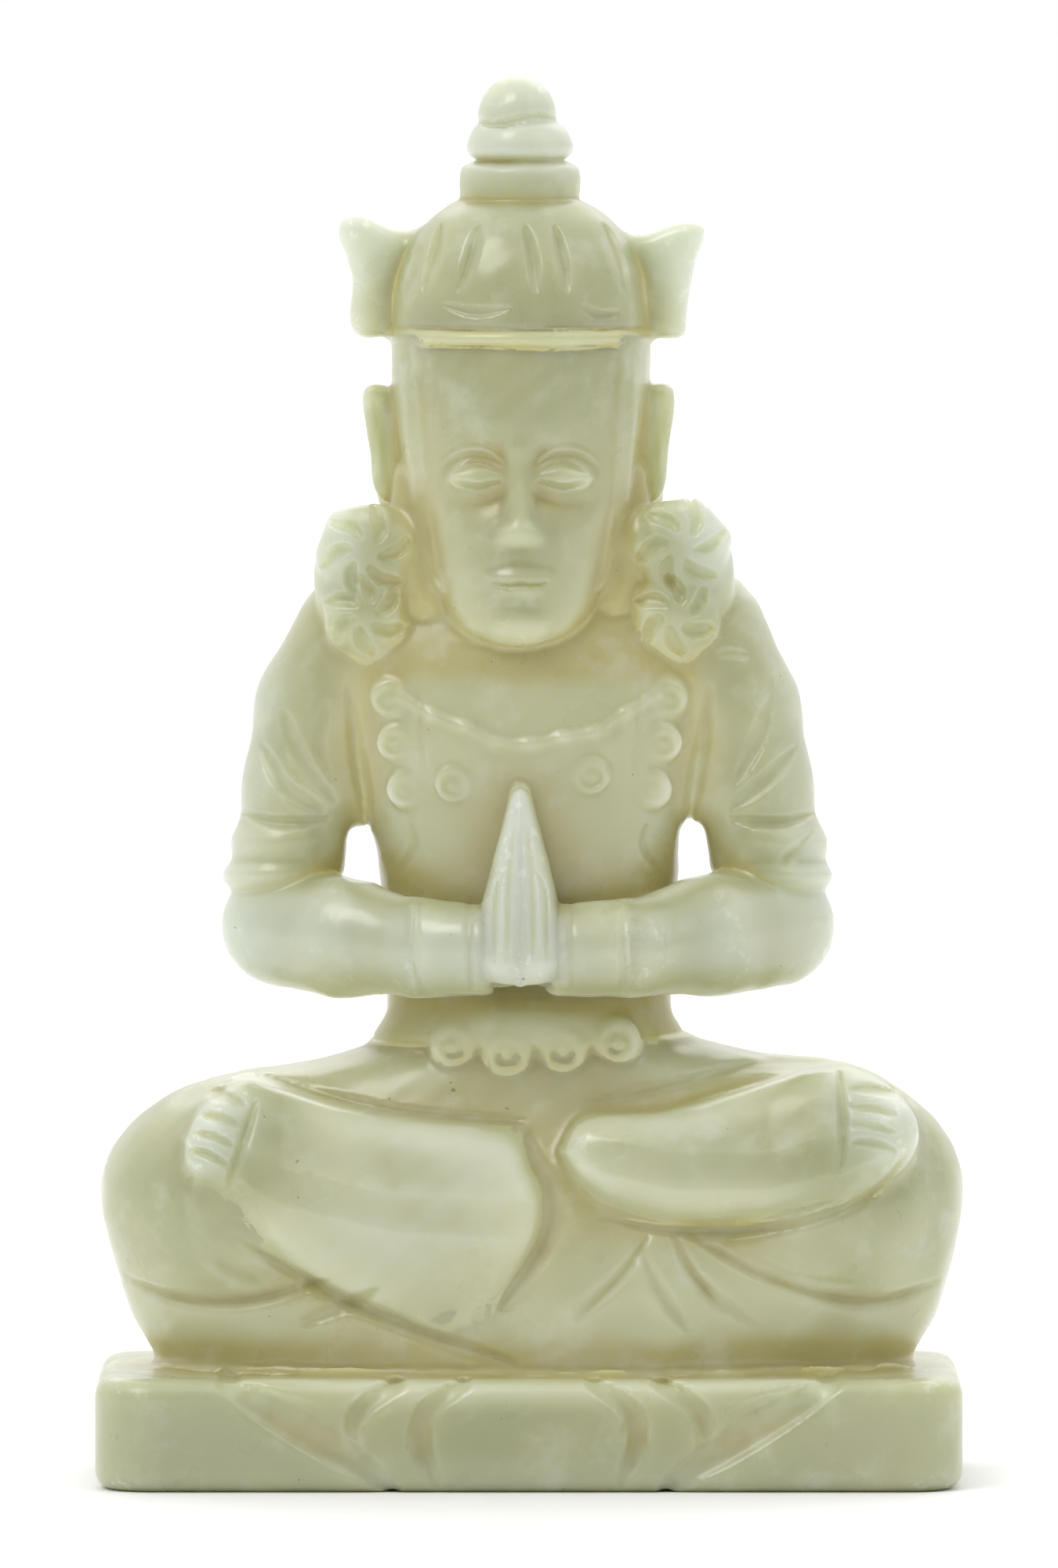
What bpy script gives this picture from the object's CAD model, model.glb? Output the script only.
# %% [markdown]
# # A small seated figure carved in pale jade
#
# The real object is one block of stone. A carver grinds it in a fixed order: big masses first, then the
# creases between them, then shallow lines with the rim of a small wheel. This lesson works in the same
# order. Each member of the body is a distance field: a formula that tells how far any point in space is from
# the member's surface, negative inside. Fields blend into each other as softly as ground stone does, and a
# wheel cut is simply a little distance added along a line. The OpenVDB library then turns each field into a
# mesh.

import math

import bpy
import numpy as np
import openvdb as vdb
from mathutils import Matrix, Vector


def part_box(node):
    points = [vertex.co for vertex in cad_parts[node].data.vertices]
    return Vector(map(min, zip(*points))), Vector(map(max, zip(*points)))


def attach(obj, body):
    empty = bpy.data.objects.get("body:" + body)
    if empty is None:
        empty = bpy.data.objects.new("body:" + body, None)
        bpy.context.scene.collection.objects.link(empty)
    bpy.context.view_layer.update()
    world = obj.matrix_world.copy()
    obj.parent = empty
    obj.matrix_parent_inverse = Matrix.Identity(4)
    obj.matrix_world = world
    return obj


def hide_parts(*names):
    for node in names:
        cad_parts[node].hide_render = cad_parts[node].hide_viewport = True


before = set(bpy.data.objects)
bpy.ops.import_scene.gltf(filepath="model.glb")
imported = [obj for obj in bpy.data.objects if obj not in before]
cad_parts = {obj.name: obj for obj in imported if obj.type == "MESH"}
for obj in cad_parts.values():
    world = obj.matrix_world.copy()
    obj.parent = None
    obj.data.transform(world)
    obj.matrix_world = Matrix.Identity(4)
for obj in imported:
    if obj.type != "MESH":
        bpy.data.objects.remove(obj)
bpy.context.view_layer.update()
MM = 0.001
nodes = sorted(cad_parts)

# %% [markdown]
# ## The places of things
#
# A few levels and centres are read from the frame's boxes once and used all through the script, in
# millimetres.


# %% Corners, middles and levels
def box_mm(node):
    """Lowest and highest corner of one member, in millimetres."""
    low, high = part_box(node)
    return np.array(low) / MM, np.array(high) / MM


def middle(node):
    low, high = box_mm(node)
    return (low + high) / 2


SLAB_LOW, SLAB_HIGH = box_mm("plinth")
SLAB_TOP = SLAB_HIGH[2]
FRONT = SLAB_LOW[1]
HEAD_X = middle("crown_band")[0]
CHIN_Z = box_mm("head")[0][2]
CROWN_Z = box_mm("crown_band")[0][2]
BAND_TOP = box_mm("crown_band")[1][2]
DOME_TOP = box_mm("crown_dome")[1][2]
RING_TOP = box_mm("topknot_lower")[1][2]
TIER_TOP = box_mm("topknot_middle")[1][2]
TIP_Z = box_mm("topknot_bud")[1][2]
SASH_LOW, SASH_TOP = (corner[2] for corner in box_mm("waist_sash"))
PALM_LOW, PALM_TOP = (corner[2] for corner in box_mm("left_hand"))
print("levels of slab, chin, crown and tip", [round(z, 2) for z in (SLAB_TOP, CHIN_Z, CROWN_Z, TIP_Z)])

# %% [markdown]
# ## Fields
#
# A field is a function that takes a cloud of points, as three arrays, and gives back one distance for each.
# Small makers return such functions: a ball stretched to three radii, a limb through a few stations, a stack
# of rounded sections, and a plate with a smooth outline.


# %% Makers of fields
TINY = 1e-6
RISE_STEP = 0.2


def soft_min(a, b, width):
    """The smaller of two distances, with the corner between them rounded over the width."""
    rise = np.maximum(width - np.abs(a - b), 0.0) / width
    return np.minimum(a, b) - rise * rise * width * 0.25


def soft_max(a, b, width):
    return -soft_min(-a, -b, width)


def ball(centre, radii, lean=0.0):
    """A ball stretched to three radii and leaned in the plane of the front view, in degrees."""
    cos, sin = math.cos(math.radians(lean)), math.sin(math.radians(lean))

    def field(x, y, z):
        x, y, z = x - centre[0], y - centre[1], z - centre[2]
        u, w = x * cos - z * sin, x * sin + z * cos
        u, v, w = u / radii[0], y / radii[1], w / radii[2]
        near = np.sqrt(u ** 2 + v ** 2 + w ** 2) + TINY
        slope = np.sqrt((u / radii[0]) ** 2 + (v / radii[1]) ** 2 + (w / radii[2]) ** 2) + TINY
        return near * (near - 1.0) / slope
    return field


def limb(*stations):
    """A round limb through stations (x, y, z, radius)."""
    def field(x, y, z):
        best = None
        for (ax, ay, az, ar), (bx, by, bz, br) in zip(stations, stations[1:]):
            run = np.array([bx - ax, by - ay, bz - az])
            px, py, pz = x - ax, y - ay, z - az
            along = np.clip((px * run[0] + py * run[1] + pz * run[2]) / float(run @ run), 0.0, 1.0)
            px, py, pz = px - along * run[0], py - along * run[1], pz - along * run[2]
            away = np.sqrt(px ** 2 + py ** 2 + pz ** 2) - (ar + along * (br - ar))
            best = away if best is None else soft_min(best, away, 0.5)
        return best
    return field


def smooth_path(points, steps=8):
    """Points along a smooth curve through the given points, of any dimension."""
    points = np.array(points, float)
    ends = np.vstack([2 * points[0] - points[1], points, 2 * points[-1] - points[-2]])
    t = np.linspace(0, 1, steps, endpoint=False)[:, None]
    spans = []
    for p0, p1, p2, p3 in zip(ends, ends[1:], ends[2:], ends[3:]):
        spans.append(0.5 * (2 * p1 + (p2 - p0) * t + (2 * p0 - 5 * p1 + 4 * p2 - p3) * t ** 2
                            + (3 * p1 - p0 - 3 * p2 + p3) * t ** 3))
    return np.vstack(spans + [points[-1:]])


def stack(rows, centre_x=0.0, squareness=2.0):
    """A solid through rows (z, half width, half depth, middle y), squarer in plan with more squareness."""
    table = smooth_path(rows)
    levels, foot, top = table[:, 0], rows[0][0], rows[-1][0]
    n = squareness

    def field(x, y, z):
        wide, deep, mid = (np.interp(z, levels, table[:, i]).astype(np.float32) for i in (1, 2, 3))
        wider = (np.interp(z + RISE_STEP, levels, table[:, 1]) - wide) / RISE_STEP
        deeper = (np.interp(z + RISE_STEP, levels, table[:, 2]) - deep) / RISE_STEP
        u, v = np.abs(x - centre_x) / wide, np.abs(y - mid) / deep
        reach = (u ** n + v ** n) ** (1 / n) + TINY
        slope_x = (u / reach) ** (n - 1) / wide
        slope_y = (v / reach) ** (n - 1) / deep
        slope_z = (u / reach) ** (n - 1) * u * wider / wide + (v / reach) ** (n - 1) * v * deeper / deep
        side = (reach - 1) / np.sqrt(slope_x ** 2 + slope_y ** 2 + slope_z ** 2 + TINY)
        return soft_max(side, np.maximum(z - top, foot - z), 0.4)
    return field


def slab(low, high, corner, edge):
    """A flat block with round corners in plan and a softened edge."""
    low, high = np.array(low), np.array(high)
    mid, size = (low + high) / 2, (high - low) / 2

    def field(x, y, z):
        qx, qy = np.abs(x - mid[0]) - size[0] + corner, np.abs(y - mid[1]) - size[1] + corner
        plan = np.hypot(np.maximum(qx, 0), np.maximum(qy, 0)) + np.minimum(np.maximum(qx, qy), 0) - corner
        side, rise = plan + edge, np.abs(z - mid[2]) - size[2] + edge
        inside = np.minimum(np.maximum(side, rise), 0)
        return np.hypot(np.maximum(side, 0), np.maximum(rise, 0)) + inside - edge
    return field


def outline_distance(x, z, loop):
    """Signed distance to a closed loop of (x, z) points, negative inside."""
    best = np.full(x.shape, 1e9, np.float32)
    inside = np.zeros(x.shape, bool)
    for (ax, az), (bx, bz) in zip(loop, np.roll(loop, -1, axis=0)):
        run_x, run_z = bx - ax, bz - az
        along = np.clip(((x - ax) * run_x + (z - az) * run_z) / (run_x ** 2 + run_z ** 2 + 1e-9), 0, 1)
        best = np.minimum(best, (x - ax - along * run_x) ** 2 + (z - az - along * run_z) ** 2)
        if az != bz:
            inside ^= ((az > z) != (bz > z)) & (x < ax + (z - az) * run_x / run_z)
    return np.where(inside, -1, 1) * np.sqrt(best)


def plate(outline, mid_y, half_depth, edge=0.5):
    """A flat piece with a smooth outline of (x, z) points and round edges."""
    loop = smooth_path(list(outline) + [outline[0]], 4)[:-1]

    def field(x, y, z):
        return soft_max(outline_distance(x, z, loop), np.abs(y - mid_y) - half_depth, edge)
    return field


def join(width, *fields):
    """Several fields blended into one."""
    def field(x, y, z):
        best = fields[0](x, y, z)
        for other in fields[1:]:
            best = soft_min(best, other(x, y, z), width)
        return best
    return field


def hollow(field, tool, width):
    """A field with another ground out of it."""
    return lambda x, y, z: soft_max(field(x, y, z), -tool(x, y, z), width)


def front_of(field, x, z):
    """How far forward a field's surface lies at one place of the front view."""
    y = -12.0
    for _ in range(60):
        step = float(field(np.array([x]), np.array([y]), np.array([z]))[0])
        y += 0.7 * step
    return y


def ring(x, y, z, radius, cord):
    """A little ring lying on the front of the figure."""
    def field(px, py, pz):
        return np.hypot(np.hypot(px - x, pz - z) - radius, py - y) - cord
    return field


print("field makers ready")

# %% [markdown]
# ## Legs and slab
#
# The crossed legs are one broad mass that bulges over the knees and draws in under the sash. Each foot lies
# sole outwards: two ground facets that meet in a ridge, which is how a wheel leaves stone.

# %% Slab and legs
members = {}
softness = {}


def add(name, field, width):
    """Names a member and says how softly it blends into the ones before it."""
    members[name] = field
    softness[name] = width


UPRIGHT = 1.7
add("plinth", slab(SLAB_LOW, SLAB_HIGH, corner=2.6, edge=0.9), 0.3)

LEG_ROWS = [(SLAB_TOP - 0.6, 17.0, 7.2, 0.0), (SLAB_TOP + 0.8, 17.7, 7.3, 0.0), (8.0, 18.8, 7.6, 0.0),
            (11.0, 19.55, 7.5, 0.0), (14.0, 19.8, 7.0, 0.0), (16.2, 18.5, 6.0, 0.1), (17.7, 15.7, 5.4, 0.2),
            (18.9, 12.4, 5.1, 0.3), (19.8, 9.0, 4.9, 0.4), (20.6, 6.3, 4.6, 0.4)]
level_legs = stack(LEG_ROWS, centre_x=0.17, squareness=2.35)


def legs(x, y, z):
    """The mass of the crossed legs, its left knee carried a little higher than its right."""
    shift = 0.1 * np.clip((12 - z) / 4, 0, 1)
    tilt = 0.018 * x * np.clip((z - 12) / 6, 0, 1)
    return level_legs(x - shift, y, z - tilt)


add("lap", legs, 0.8)
add("right_knee", ball((-12.6, -0.6, 13.1), (6.95, 7.2, 5.7)), 1.0)
add("left_knee", ball((12.8, -0.6, 13.2), (6.9, 7.2, 6.2)), 1.0)


def wedge(outline, ridge, front, upper, lower):
    """A limb across the lap, ground to two facets that meet in a ridge (x, z).

    The upper facet leans back once it is UPRIGHT mm above the ridge, the lower one curves under.
    """
    loop = smooth_path(list(outline) + [outline[0]], 5)[:-1]
    ridge = np.array(sorted(ridge))

    def field(x, y, z):
        above = z - np.interp(x, ridge[:, 0], ridge[:, 1]).astype(np.float32)
        lean = 0.10 * np.maximum(above, 0) + upper * np.maximum(above - UPRIGHT, 0)
        lean = lean + lower * np.maximum(-above, 0) + 0.035 * np.maximum(-above, 0) ** 2
        bend = 0.008 * (x - ridge[:, 0].mean()) ** 2
        face = (front - y + lean + bend) * 0.86
        return soft_max(soft_max(outline_distance(x, z, loop), face, 1.5), y + 2.0, 0.5)
    return field


add("right_shin", limb((-11.6, -3.4, 11.2, 2.6), (-6.4, -3.4, 10.6, 3.6), (-2.0, -3.4, 9.6, 3.9)), 0.3)
add("left_shin", limb((1.2, -3.9, 8.6, 3.6), (5.6, -3.9, 9.2, 3.9), (11.5, -3.5, 9.6, 3.4)), 1.2)
outline = [(-15.9, 16.1), (-15.0, 17.7), (-13.2, 18.7), (-11.6, 18.4), (-8.6, 17.7), (-4.6, 17.1),
           (-0.9, 16.7), (0.3, 15.4), (0.9, 13.2), (0.4, 10.8), (-0.9, 8.6), (-1.3, 6.2), (-4.3, 6.6),
           (-8.2, 8.4), (-12.2, 11.2), (-14.0, 13.2), (-15.7, 14.5)]
ridge = [(-14.6, 15.2), (-11.4, 13.2), (-6.4, 12.0), (0.0, 11.6)]
add("left_foot", wedge(outline, ridge, FRONT + 0.35, 0.34, 0.10), 0.5)
outline = [(1.4, 15.6), (2.6, 17.0), (6.0, 17.4), (10.0, 18.3), (13.4, 19.4), (15.8, 19.0), (17.6, 17.4),
           (17.8, 15.6), (16.2, 13.7), (12.6, 12.6), (8.0, 12.2), (4.2, 12.6), (2.2, 13.9)]
ridge = [(2.2, 14.9), (6.5, 13.9), (11.0, 13.9), (14.6, 14.8), (17.0, 15.8)]
add("right_foot", wedge(outline, ridge, FRONT + 0.5, 0.36, 0.25), 0.5)
print(len(members), "members in the legs")

# %% [markdown]
# ## Trunk and arms
#
# The chest is a stack of rounded sections, narrow at the waist. The shawl's end falls over each elbow in two
# puffs, the forearms run in to the broad wrist cuffs, and between them the two palms meet in a pointed arch.

# %% Trunk and arms
TORSO_ROWS = [(SASH_TOP - 0.3, 6.3, 4.5, 0.5), (25.5, 6.7, 4.6, 0.5), (29.0, 7.1, 4.7, 0.4),
              (31.6, 7.95, 4.9, 0.4), (34.5, 8.7, 5.0, 0.4), (37.4, 8.9, 4.8, 0.5), (39.6, 8.2, 4.2, 0.6),
              (41.2, 6.4, 3.5, 0.7), (42.0, 4.6, 3.0, 0.8)]
torso = stack(TORSO_ROWS, squareness=2.3)
add("waist_sash", stack([(SASH_LOW - 0.5, 7.4, 5.3, 0.4), ((SASH_LOW + SASH_TOP) / 2, 6.6, 5.35, 0.4),
                         (SASH_TOP + 0.2, 6.4, 4.9, 0.5)], squareness=2.2), 0.7)
add("torso", torso, 0.8)
SIDES = ((-1, "right"), (1, "left"))
LEAN_X = 0.07
PALM_ROWS = [(PALM_LOW + 0.1, 1.6, 1.7, -6.75), (24.4, 2.05, 2.1, -6.8), (26.8, 1.8, 1.95, -6.6),
             (29.0, 1.28, 1.75, -6.3), (31.0, 0.76, 1.5, -5.9), (PALM_TOP, 0.42, 1.3, -5.5)]
palms = stack(PALM_ROWS, HEAD_X, 2.4)
for side, word in SIDES:
    add(f"{word}_upper_arm",
        limb((side * 7.8 + 0.1, 0.7, 38.8, 3.22), (side * 9.5 - LEAN_X, 0.6, 35.6, 3.05),
             (side * 10.2 - LEAN_X, 0.3, 32.0, 2.95), (side * 10.9 - LEAN_X, 0.0, 29.4, 2.62)), 1.6)
    puff_z = middle(f"{word}_sleeve_fold")[2]
    puffs = [ball((side * 11.2, 0.0, puff_z + 0.2), (2.6, 2.9, 1.3), side * 5),
             ball((side * 11.42 - 0.08, -0.1, puff_z - 1.25), (2.7, 2.95, 1.2), side * 6)]
    add(f"{word}_sleeve_fold", join(0.7, *puffs), 0.6)
    drop = 0.25 if side < 0 else 0.0
    add(f"{word}_forearm",
        limb((side * 11.4 - 0.05, -0.4, 25.6, 2.8), (side * 8.4, -2.9, 25.35 - drop / 2, 2.8 - drop / 3),
             (side * 5.0, -5.0, 24.85, 2.15), (side * 1.6, -5.6, 24.7, 1.9)), 0.4)
    wrist_x, wrist_y = middle(f"{word}_wrist_cuff")[:2]
    cuff = limb((wrist_x - side * 2.4, wrist_y - 0.5, 24.85, 2.03),
                (wrist_x + side * 1.9, wrist_y + 0.65, 24.95, 2.2))
    add(f"{word}_wrist_cuff", hollow(
        cuff, lambda x, y, z, side=side, at=wrist_x: 1.75 - np.abs(x - at + side * 0.3), 0.3), 0.45)
    add(f"{word}_hand", lambda x, y, z, side=side: np.maximum(palms(x, y, z), -side * (x - HEAD_X)), 0.3)
print(len(members), "members with the trunk")

# %% [markdown]
# ## Head, ears and crown
#
# The face is a plain, calm one on the usual proportions: the eyes lie half way up the skull, the face
# divides into three equal thirds at the brows and the base of the nose, and each eye is a fifth of the
# face's width.

# %% Head, ears, earrings and crown
FACE_THIRD = (CROWN_Z - 0.3 - CHIN_Z) / 3
NOSE_Z = CHIN_Z + FACE_THIRD
BROW_Z = CHIN_Z + 2 * FACE_THIRD
MOUTH_Z = CHIN_Z + FACE_THIRD * 0.64
EYE_Z = BROW_Z - FACE_THIRD * 0.27
FACE_HALF = 4.9
EYE_WIDTH = FACE_HALF * 2 / 5
SKULL_ROWS = [(CHIN_Z, 1.5, 1.4, -3.0), (39.6, 3.0, 2.9, -2.2), (41.6, 4.2, 4.3, -1.1),
              (44.5, 4.95, 5.0, -0.5), (48.0, 5.4, 5.35, -0.2), (50.5, 5.7, 5.5, -0.1),
              (CROWN_Z + 0.3, 5.75, 5.5, -0.05)]
skull = stack(SKULL_ROWS, HEAD_X, 2.25)
FACE_Y = front_of(skull, HEAD_X, NOSE_Z)


def face_ball(side_x, z, radii, sink, lean=0.0):
    """A small mass set into the face, sunk by a share of its own depth."""
    x = HEAD_X + side_x
    return ball((x, front_of(skull, x, z) + radii[1] * sink, z), radii, lean)


def hair(x, y, z):
    """Hair combed back from the face: a raised layer beside and behind it."""
    edge = np.interp(z, [CHIN_Z, 42.0, 45.5, CROWN_Z], [2.6, 3.9, 4.45, 4.75]).astype(np.float32)
    layer = soft_max(skull(x, y, z) - 0.22, edge - np.abs(x - HEAD_X) - 0.8 * np.maximum(y + 2.6, 0), 0.4)
    return soft_max(layer, 41.0 - z, 0.8)


def make_head():
    """The ovoid of the head with sockets hollowed and the nose, lids, lips and chin added."""
    head = skull
    for side in (-1, 1):
        socket = face_ball(side * EYE_WIDTH, EYE_Z, (1.9, 0.7, 1.15), -0.58, side * 5)
        head = hollow(head, socket, 1.6)
    bridge = limb((HEAD_X, FACE_Y + 0.5, BROW_Z, 0.45), (HEAD_X, FACE_Y + 0.02, NOSE_Z + 1.0, 0.5))
    tip = ball((HEAD_X, FACE_Y + 0.05, NOSE_Z + 0.6), (0.66, 0.62, 0.52))
    wings = [ball((HEAD_X + side * 0.68, FACE_Y + 0.28, NOSE_Z + 0.5), (0.44, 0.5, 0.38)) for side in (-1, 1)]
    face = join(0.7, head, bridge, tip, *wings)
    lids = [face_ball(side * EYE_WIDTH, EYE_Z, (1.3, 0.66, 0.7), 0.78, side * 4) for side in (-1, 1)]
    lips = [face_ball(0.0, MOUTH_Z + 0.28, (1.4, 0.55, 0.38), 0.5),
            face_ball(0.0, MOUTH_Z - 0.36, (1.15, 0.55, 0.46), 0.45)]
    chin = face_ball(0.0, CHIN_Z + 1.0, (1.3, 0.9, 0.8), 0.75)
    back_hair = join(1.0, ball((HEAD_X, 1.2, 43.0), (6.2, 4.0, 6.4)),
                     ball((HEAD_X, 0.6, 45.4), (6.6, 1.6, 1.8)))
    beside_jaw = [limb((HEAD_X + side * 5.0, -1.2, 46.4, 0.9), (HEAD_X + side * 4.9, -1.8, 43.6, 1.2),
                       (HEAD_X + side * 4.2, -2.0, 40.8, 1.2)) for side in (-1, 1)]
    return join(0.4, join(0.7, face, chin, *lids), *lips, hair, back_hair, *beside_jaw)


blossoms = []


def blossom(x, y, z, radius, turn):
    """A carved flower: a low dome with a scalloped rim. Its place is noted, to cut its petals later."""
    blossoms.append((x, z, radius, turn))
    petals = [ball((x, y, z), (radius, 1.0, radius))]
    for i in range(6):
        way = math.radians(turn + 60 * i + 30)
        petals.append(ball((x + 0.66 * radius * math.cos(way), y + 0.15, z + 0.66 * radius * math.sin(way)),
                           (radius * 0.42, 0.9, radius * 0.42)))
    return join(0.25, *petals)


add("neck", stack([(38.0, 4.6, 3.4, 0.9), (40.5, 3.7, 3.1, 0.6), (44.0, 3.5, 3.1, 0.4)], HEAD_X), 0.8)
add("head", make_head(), 0.4)
for side, word in SIDES:
    low, high = box_mm(f"{word}_ear")
    tip_x, foot, top = high[0] - 0.12 if side > 0 else low[0], low[2], high[2]
    rim = [(3.0, foot + 0.9), (1.3, foot + 0.2), (0.5, foot + 0.9), (0.3, foot + 2.6), (0.02, top - 0.95),
           (0.35, top - 0.2), (1.4, top - 0.3), (3.0, top - 0.9)]
    add(f"{word}_ear", plate([(tip_x - side * inward, z) for inward, z in rim], 0.0, 1.0, 0.5), 0.3)
    x, y, z = middle(f"{word}_earring")
    far = 0.25 if side > 0 else -0.05
    add(f"{word}_earring", join(0.4, ball((x + side * (0.05 + far), y + 0.2, z), (2.45, 1.9, 3.25)),
                                blossom(x + side * (0.1 + far), y - 0.95, z + 1.2 + far, 2.15, 100),
                                blossom(x + side * 0.05, y - 0.95, z - 1.75, 1.9, 64)), 0.5)

BAND_ROWS = [(CROWN_Z, 5.95, 5.8, 0.05), (CROWN_Z + 0.45, 6.08, 5.95, 0.05), (BAND_TOP, 5.95, 5.8, 0.05)]
DOME_ROWS = [(BAND_TOP - 0.1, 5.9, 5.75, 0.05), (55.4, 5.72, 5.6, 0.1), (57.0, 5.2, 5.0, 0.1),
             (58.3, 4.2, 4.1, 0.1), (DOME_TOP + 0.2, 2.8, 2.8, 0.1)]
add("crown_band", stack(BAND_ROWS, HEAD_X, 2.1), 0.08)
add("crown_dome", stack(DOME_ROWS, HEAD_X, 2.05), 0.12)
(tip_x, _, foot), (_, _, top) = box_mm("right_crown_wing")
tip_x, top = tip_x - 0.08, top + 0.1
rim = [(-3.6, foot + 0.5), (tip_x + 2.3, foot + 0.08), (tip_x + 1.0, foot + 0.08), (tip_x + 0.48, foot + 0.9),
       (tip_x + 0.65, top - 3.2), (tip_x + 0.38, top - 1.9), (tip_x, top - 0.85), (tip_x + 0.35, top - 0.05),
       (tip_x + 1.2, top), (tip_x + 2.5, top - 0.6), (-3.8, top - 1.2)]
add("right_crown_wing", plate(rim, 0.25, 0.95, 0.9), 0.5)
(_, _, foot), (tip_x, _, top) = box_mm("left_crown_wing")
rim = [(3.6, foot + 0.5), (tip_x - 2.4, foot + 0.05), (tip_x - 1.0, foot + 0.05), (tip_x - 0.85, foot + 0.8),
       (tip_x - 0.72, top - 3.2), (tip_x - 0.36, top - 1.7), (tip_x, top - 0.75), (tip_x - 0.25, top - 0.1),
       (tip_x - 1.1, top - 0.05), (tip_x - 2.6, top - 0.62), (3.8, top - 1.15)]
add("left_crown_wing", plate(rim, 0.25, 0.95, 0.9), 0.5)
RING_ROWS = [(DOME_TOP - 0.2, 2.7, 2.7, 0.1), (DOME_TOP + 0.8, 2.8, 2.8, 0.1),
             (RING_TOP - 0.3, 2.72, 2.7, 0.1), (RING_TOP, 2.4, 2.4, 0.1)]
TIER_ROWS = [(RING_TOP, 2.1, 2.1, 0.1), (RING_TOP + 0.6, 2.46, 2.44, 0.1), (TIER_TOP - 0.5, 2.2, 2.2, 0.1),
             (TIER_TOP, 1.72, 1.72, 0.1)]
add("topknot_lower", stack(RING_ROWS, HEAD_X), 0.15)
add("topknot_middle", stack(TIER_ROWS, HEAD_X), 0.12)
bud_z = TIER_TOP + 0.15
add("topknot_bud", ball((HEAD_X - 0.1, 0.1, bud_z), (1.8, 1.86, TIP_Z - bud_z)), 0.15)
print(len(members), "members with the head")

# %% [markdown]
# ## Ornaments
#
# The necklace is a low wavy cord. The rosettes, the curled beads along the shawl and the pendants under the
# sash are little drilled rings. Each finds its own depth by asking how far forward the stone is at that
# place, so none floats or sinks.


# %% Necklace, rosettes, beads and pendants
def rosette(x, z, radius, cord, under, proud):
    """A ring with a dot in it, set on whatever lies under it."""
    y = front_of(under, x, z) - proud
    return join(0.3, ring(x, y, z, radius, cord), ball((x, y, z), (radius * 0.45, cord, radius * 0.45)))


low, high = box_mm("necklace")
cord = []
for t in np.linspace(-1, 1, 9):
    x = ((high[0] - low[0]) / 2 - 1.2) * t
    z = low[2] + 0.25 + 2.3 * abs(t) ** 1.8 + 0.16 * math.sin(9 * t)
    cord.append((x, front_of(torso, x, z) + 0.08, z, 0.19))
add("necklace", limb(*cord), 0.25)
chest_rings = [rosette(x, z, 0.66, 0.19, torso, -0.06) for x, z in ((-3.5, 32.35), (2.9, 32.75))]
add("chest_rosettes", join(0.05, *chest_rings), 0.3)
for side, word in SIDES:
    places = ((6.5, 36.3), (6.25, 34.25), (5.75, 32.1))
    beads = [rosette(side * x, z, 0.6, 0.23, torso, -0.05) for x, z in places]
    add(f"{word}_bead_string", join(0.05, *beads), 0.45)
belly = join(0.4, members["waist_sash"], legs)
places = ((-3.5, 20.3), (-1.0, 19.9), (1.6, 20.1), (4.1, 20.5))
add("sash_pendants", join(0.05, *[rosette(x, z, 0.76, 0.28, belly, 0.0) for x, z in places]), 0.45)
missing = [node for node in nodes if node not in members]
print(len(members), "members of", len(nodes), "missing", missing)

# %% [markdown]
# ## Wheel cuts
#
# A wheel's cut is widest and deepest in its middle and runs out to a point at both ends. Here it is a smooth
# line in the front or the back view, with a width and a depth, and a raised line has a depth below zero.
# Only the stone that faces that way is touched.

# %% The wheel
cuts = []
CUT_SHARE = 0.88


def cut(points, width, depth, view="front", keen=True, until=0.3):
    """One wheel cut, a crisp lens in section. It runs out towards the sides of the figure at y = until."""
    path = smooth_path(points, 6)
    lengths = np.hypot(*np.diff(path, axis=0).T)
    share = np.concatenate([[0], np.cumsum(lengths)]) / lengths.sum()
    cuts.append((path, share, width, depth, view, keen, until))


def fold(points, width, depth, view="front", until=0.3):
    """A cut with soft shoulders, as between two folds of cloth."""
    cut(points, width, depth, view, False, until)


def both(how, points, width, depth):
    """The same cut or fold on both sides of the figure."""
    for side in (-1, 1):
        how([(side * x, z) for x, z in points], width, depth)


def cut_depth(x, y, z):
    """How deep the cuts go at each point."""
    total = np.zeros(x.shape, np.float32)
    left, right, low, high = x.min(), x.max(), z.min(), z.max()
    for path, share, width, depth, view, keen, until in cuts:
        lo, hi = path.min(0) - width, path.max(0) + width
        if lo[0] > right or hi[0] < left or lo[1] > high or hi[1] < low:
            continue
        ahead = until - y if view == "front" else until + y
        at = np.flatnonzero((x > lo[0]) & (x < hi[0]) & (z > lo[1]) & (z < hi[1]) & (ahead > 0))
        if not len(at):
            continue
        px, pz = x[at], z[at]
        nearest, where = np.full(len(at), 1e9, np.float32), np.zeros(len(at), np.float32)
        for (ax, az), (bx, bz), s0, s1 in zip(path, path[1:], share, share[1:]):
            rx, rz = bx - ax, bz - az
            along = np.clip(((px - ax) * rx + (pz - az) * rz) / (rx * rx + rz * rz + 1e-9), 0, 1)
            away = np.hypot(px - ax - along * rx, pz - az - along * rz)
            closer = away < nearest
            nearest = np.where(closer, away, nearest)
            where = np.where(closer, s0 + along * (s1 - s0), where)
        taper = np.sqrt(np.clip(4 * where * (1 - where), 0.0, 1.0)) + 1000 * TINY
        inside = np.clip(1 - nearest / (width * taper), 0, 1)
        profile = np.sqrt(inside * (2 - inside)) if keen else inside * inside * (3 - 2 * inside)
        total[at] += CUT_SHARE * depth * taper * profile * np.clip(ahead[at], 0, 1)
    return total


print("wheel ready")

# %% [markdown]
# The cuts themselves, from the slab upwards: its petal border, the robe's folds, the toes, the shawl and
# sleeves, the fingers and cuffs, the hair, ears, lids, brows and lips, the earrings' petals, and the crown's
# flutes.

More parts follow.
